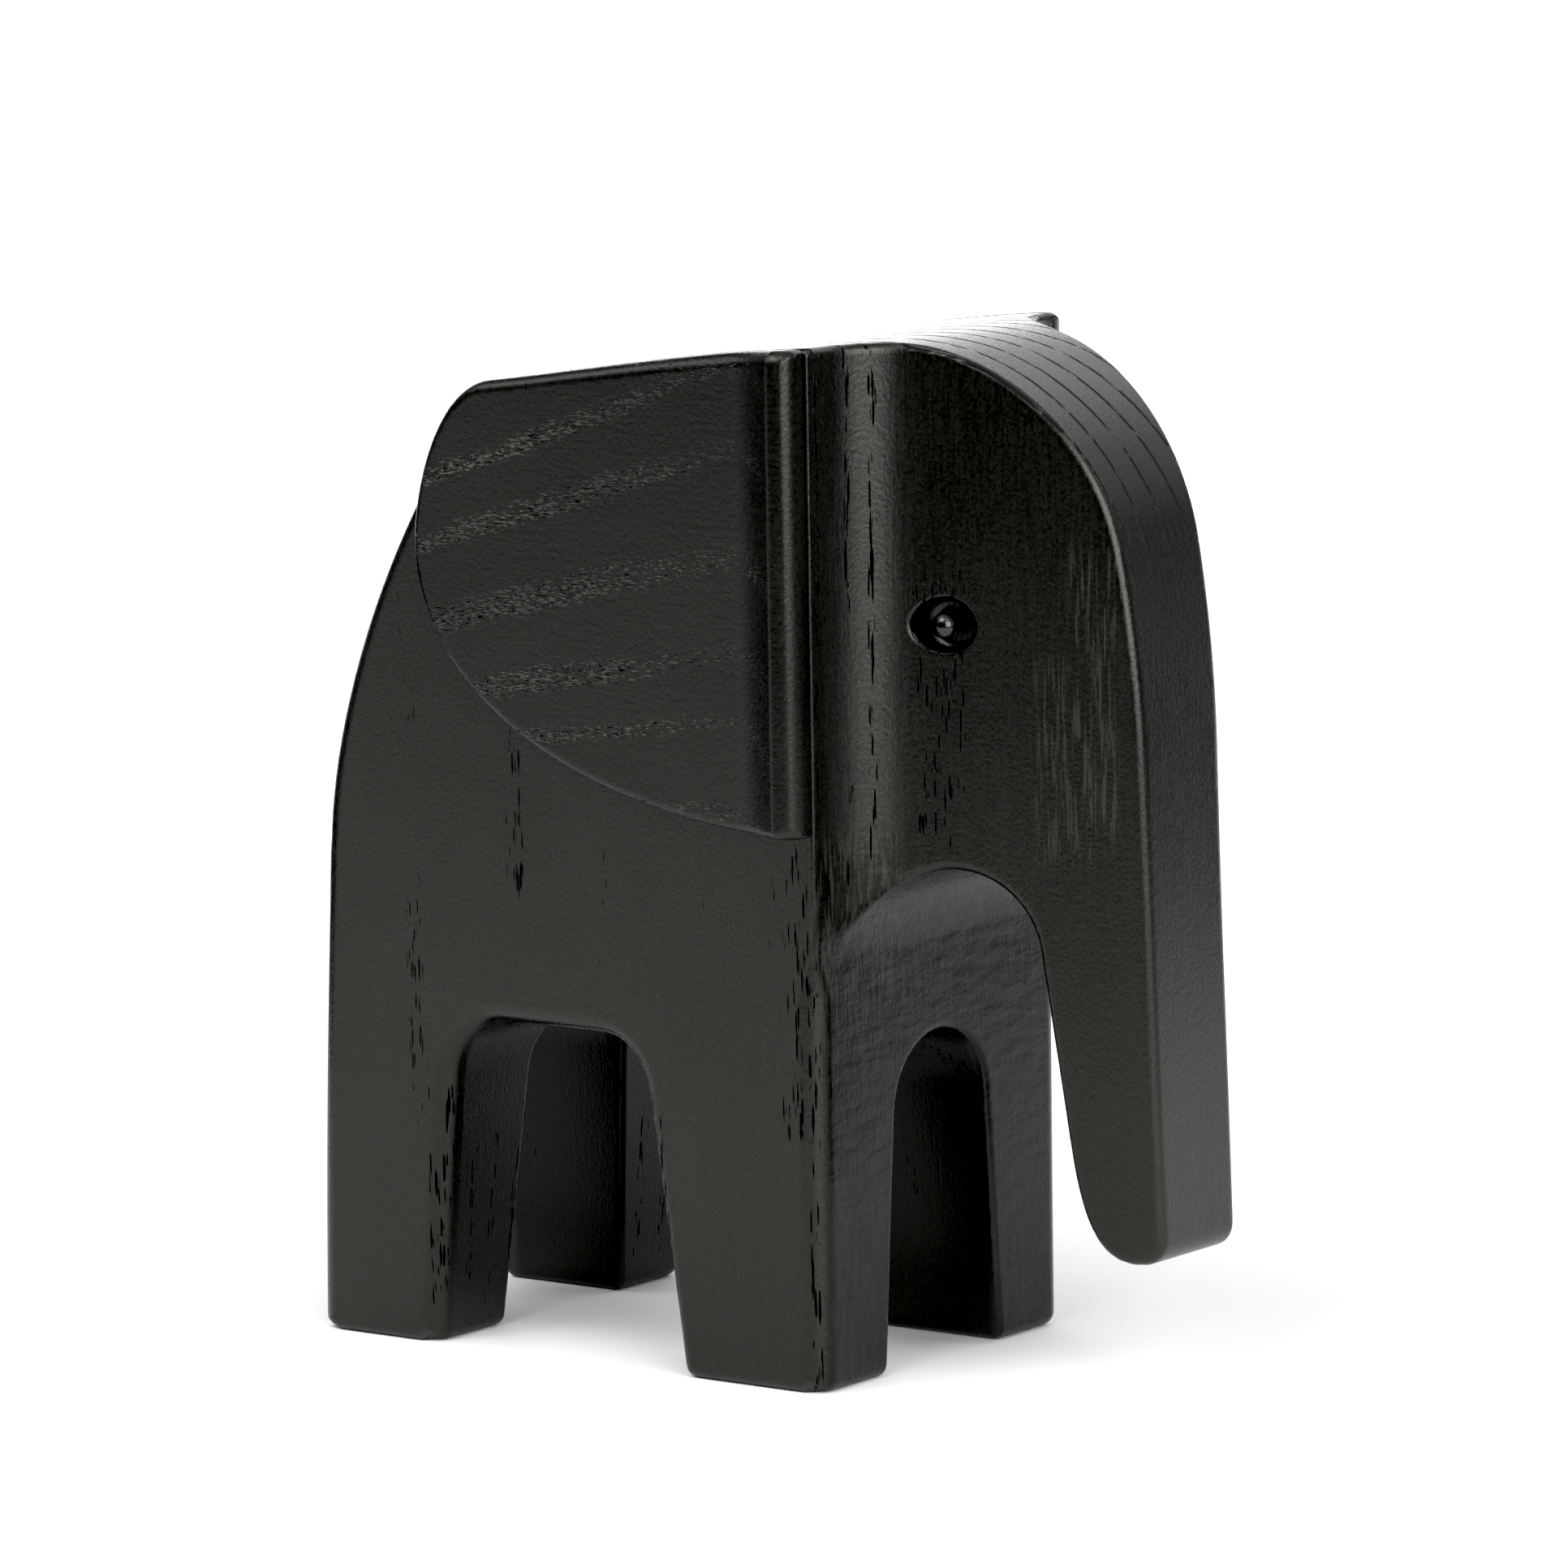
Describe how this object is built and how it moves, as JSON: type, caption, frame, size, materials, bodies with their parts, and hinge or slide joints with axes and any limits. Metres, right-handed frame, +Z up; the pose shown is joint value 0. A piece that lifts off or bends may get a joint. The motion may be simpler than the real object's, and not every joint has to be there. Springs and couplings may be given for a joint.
{
  "type": "elephant figurine",
  "caption": "Standing elephant figurine carved from black-stained ash, with applied wooden ears, a thick tapering head and trunk, and small ball eyes set in shallow pockets.",
  "frame": {"origin": "centre of the elephant's footprint, on the ground plane under its feet", "axes": "+X towards the trunk, +Y towards the elephant's left side, +Z up"},
  "size_m": [0.1136, 0.0594, 0.125],
  "materials": {
    "body_block": "satin black stain over open vertical grain",
    "right_ear": "satin black stain over open horizontal grain",
    "left_ear": "satin black stain over open horizontal grain",
    "right_eye": "gloss black",
    "left_eye": "gloss black"
  },
  "bodies": {
    "root": {"body_block": "body_block", "right_ear": "right_ear", "left_ear": "left_ear", "right_eye": "right_eye", "left_eye": "left_eye"}
  },
  "joints": []
}
